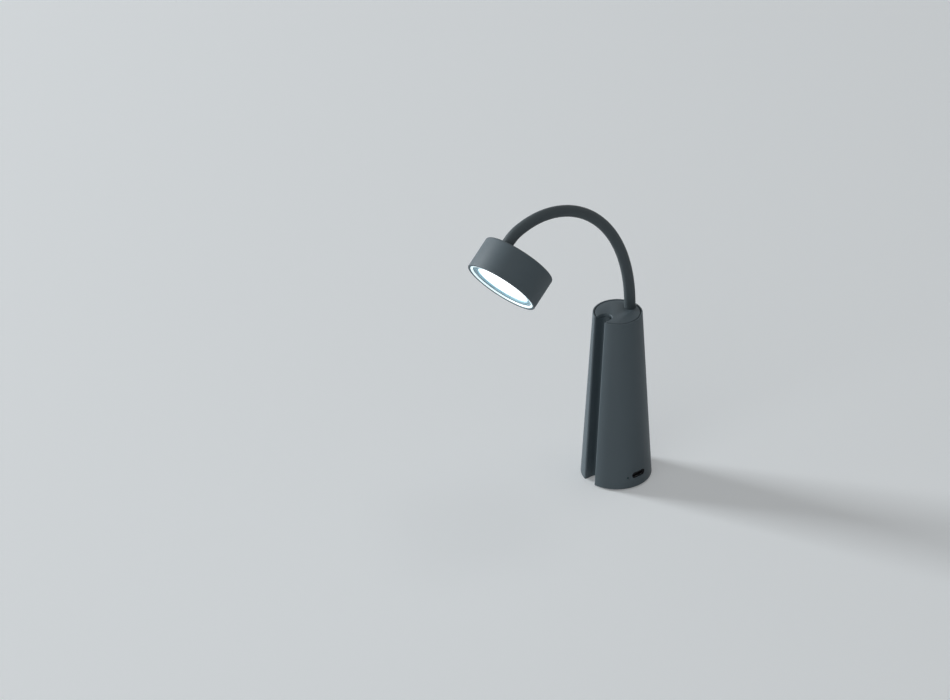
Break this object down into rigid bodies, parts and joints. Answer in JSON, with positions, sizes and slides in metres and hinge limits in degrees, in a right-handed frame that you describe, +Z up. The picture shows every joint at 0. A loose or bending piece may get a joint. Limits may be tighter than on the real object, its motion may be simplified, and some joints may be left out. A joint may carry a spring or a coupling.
{
  "type": "rechargeable torch table lamp",
  "caption": "Tapered hand-held lamp with a flexible neck and a round light head that folds into a channel to make a torch.",
  "frame": {"origin": "on the body's axis, at the flat underside of the foot", "axes": "+Z up along the body's axis, -Y towards the channel and the side the neck bends to, +X towards the charging port"},
  "size_m": [0.0486, 0.1296, 0.2085],
  "materials": {
    "painted_shell": "matte cool grey paint on thin drawn metal",
    "neck_sleeve": "matte soft sleeve over a wound flexible tube",
    "foot_rubber": "matte soft foot",
    "black_moulding": "matte moulded",
    "white_moulding": "bright white moulded",
    "opal_diffuser": "opal, lit from behind",
    "satin_trim": "satin",
    "steel": "plain steel",
    "nickel": "nickel plated",
    "brass": "plain brass",
    "copper": "bare copper",
    "circuit_board": "laminate",
    "cell_wrap": "can in a shrink wrap",
    "clear_pin": "smoked clear",
    "phosphor": "silicone over phosphor"
  },
  "bodies": {
    "body": {"ballast_weight": "steel", "base_cover": "black_moulding", "base_foot": "foot_rubber", "base_screw_1": "steel", "base_screw_2": "steel", "base_screw_3": "steel", "base_screw_4": "steel", "battery_carrier": "black_moulding", "battery_cell": "cell_wrap", "board_standoff_1": "brass", "board_standoff_2": "brass", "board_standoff_3": "brass", "board_standoff_4": "brass", "body_shell": "painted_shell", "charge_light": "clear_pin", "main_board": "circuit_board", "negative_contact": "nickel", "positive_contact": "nickel", "top_cap": "painted_shell", "touch_pad": "copper", "usb_socket": "nickel", "usb_tongue": "black_moulding"},
    "neck_root": {"neck_root": "neck_sleeve", "neck_root_nut": "steel"},
    "neck_link_01": {"neck_segment_01": "neck_sleeve"},
    "neck_link_02": {"neck_segment_02": "neck_sleeve"},
    "neck_link_03": {"neck_segment_03": "neck_sleeve"},
    "neck_link_04": {"neck_segment_04": "neck_sleeve"},
    "neck_link_05": {"neck_segment_05": "neck_sleeve"},
    "neck_link_06": {"neck_segment_06": "neck_sleeve"},
    "neck_link_07": {"neck_segment_07": "neck_sleeve"},
    "neck_link_08": {"neck_segment_08": "neck_sleeve"},
    "neck_link_09": {"neck_segment_09": "neck_sleeve"},
    "neck_link_10": {"neck_segment_10": "neck_sleeve"},
    "neck_link_11": {"neck_segment_11": "neck_sleeve"},
    "neck_link_12": {"neck_segment_12": "neck_sleeve"},
    "neck_link_13": {"neck_segment_13": "neck_sleeve"},
    "neck_link_14": {"neck_segment_14": "neck_sleeve"},
    "head": {"diffuser": "opal_diffuser", "head_nut": "steel", "head_shell": "painted_shell", "led_board": "steel", "led_emitter": "phosphor", "led_screw_1": "steel", "led_screw_2": "steel", "led_screw_3": "steel", "neck_segment_15": "neck_sleeve", "reflector_cup": "white_moulding", "trim_ring": "satin_trim"}
  },
  "joints": [
    {"name": "neck_swing", "type": "hinge", "parent": "body", "child": "neck_root", "pos_m": [0, 0.0097, 0.116], "axis": [0, 0, -1], "range_deg": [-175, 0]},
    {"name": "neck_bend_01", "type": "hinge", "parent": "neck_root", "child": "neck_link_01", "pos_m": [0, 0.00951, 0.123], "axis": [1, 0, 0], "range_deg": [-8, 29]},
    {"name": "neck_bend_02", "type": "hinge", "parent": "neck_link_01", "child": "neck_link_02", "pos_m": [0, 0.00914, 0.12791], "axis": [1, 0, 0], "range_deg": [-8, 29]},
    {"name": "neck_bend_03", "type": "hinge", "parent": "neck_link_02", "child": "neck_link_03", "pos_m": [0, 0.00857, 0.13281], "axis": [1, 0, 0], "range_deg": [-8, 29]},
    {"name": "neck_bend_04", "type": "hinge", "parent": "neck_link_03", "child": "neck_link_04", "pos_m": [0, 0.00779, 0.13768], "axis": [1, 0, 0], "range_deg": [-8, 22.86]},
    {"name": "neck_bend_05", "type": "hinge", "parent": "neck_link_04", "child": "neck_link_05", "pos_m": [0, 0.0068, 0.1425], "axis": [1, 0, 0], "range_deg": [-8, 22.86]},
    {"name": "neck_bend_06", "type": "hinge", "parent": "neck_link_05", "child": "neck_link_06", "pos_m": [0, 0.00558, 0.14728], "axis": [1, 0, 0], "range_deg": [-8, 22.86]},
    {"name": "neck_bend_07", "type": "hinge", "parent": "neck_link_06", "child": "neck_link_07", "pos_m": [0, -0.00111, 0.16471], "axis": [-1, 0, 0], "range_deg": [-8, 11.11]},
    {"name": "neck_bend_08", "type": "hinge", "parent": "neck_link_07", "child": "neck_link_08", "pos_m": [0, -0.00983, 0.1786], "axis": [-1, 0, 0], "range_deg": [-8, 11.1]},
    {"name": "neck_bend_09", "type": "hinge", "parent": "neck_link_08", "child": "neck_link_09", "pos_m": [0, -0.01984, 0.18926], "axis": [-1, 0, 0], "range_deg": [-8, 11.1]},
    {"name": "neck_bend_10", "type": "hinge", "parent": "neck_link_09", "child": "neck_link_10", "pos_m": [0, -0.03056, 0.19695], "axis": [-1, 0, 0], "range_deg": [-8, 11.1]},
    {"name": "neck_bend_11", "type": "hinge", "parent": "neck_link_10", "child": "neck_link_11", "pos_m": [0, -0.04148, 0.20194], "axis": [-1, 0, 0], "range_deg": [-8, 11.1]},
    {"name": "neck_bend_12", "type": "hinge", "parent": "neck_link_11", "child": "neck_link_12", "pos_m": [0, -0.05221, 0.20451], "axis": [-1, 0, 0], "range_deg": [-10, 11.1]},
    {"name": "neck_bend_13", "type": "hinge", "parent": "neck_link_12", "child": "neck_link_13", "pos_m": [0, -0.06239, 0.20494], "axis": [-1, 0, 0], "range_deg": [-10, 11.09]},
    {"name": "neck_bend_14", "type": "hinge", "parent": "neck_link_13", "child": "neck_link_14", "pos_m": [0, -0.07176, 0.2035], "axis": [-1, 0, 0], "range_deg": [-10, 11.09]},
    {"name": "neck_bend_15", "type": "hinge", "parent": "neck_link_14", "child": "head", "pos_m": [0, -0.08009, 0.2005], "axis": [-0.8758, 0.2403, -0.4187], "range_deg": [-10, 15.16]}
  ]
}
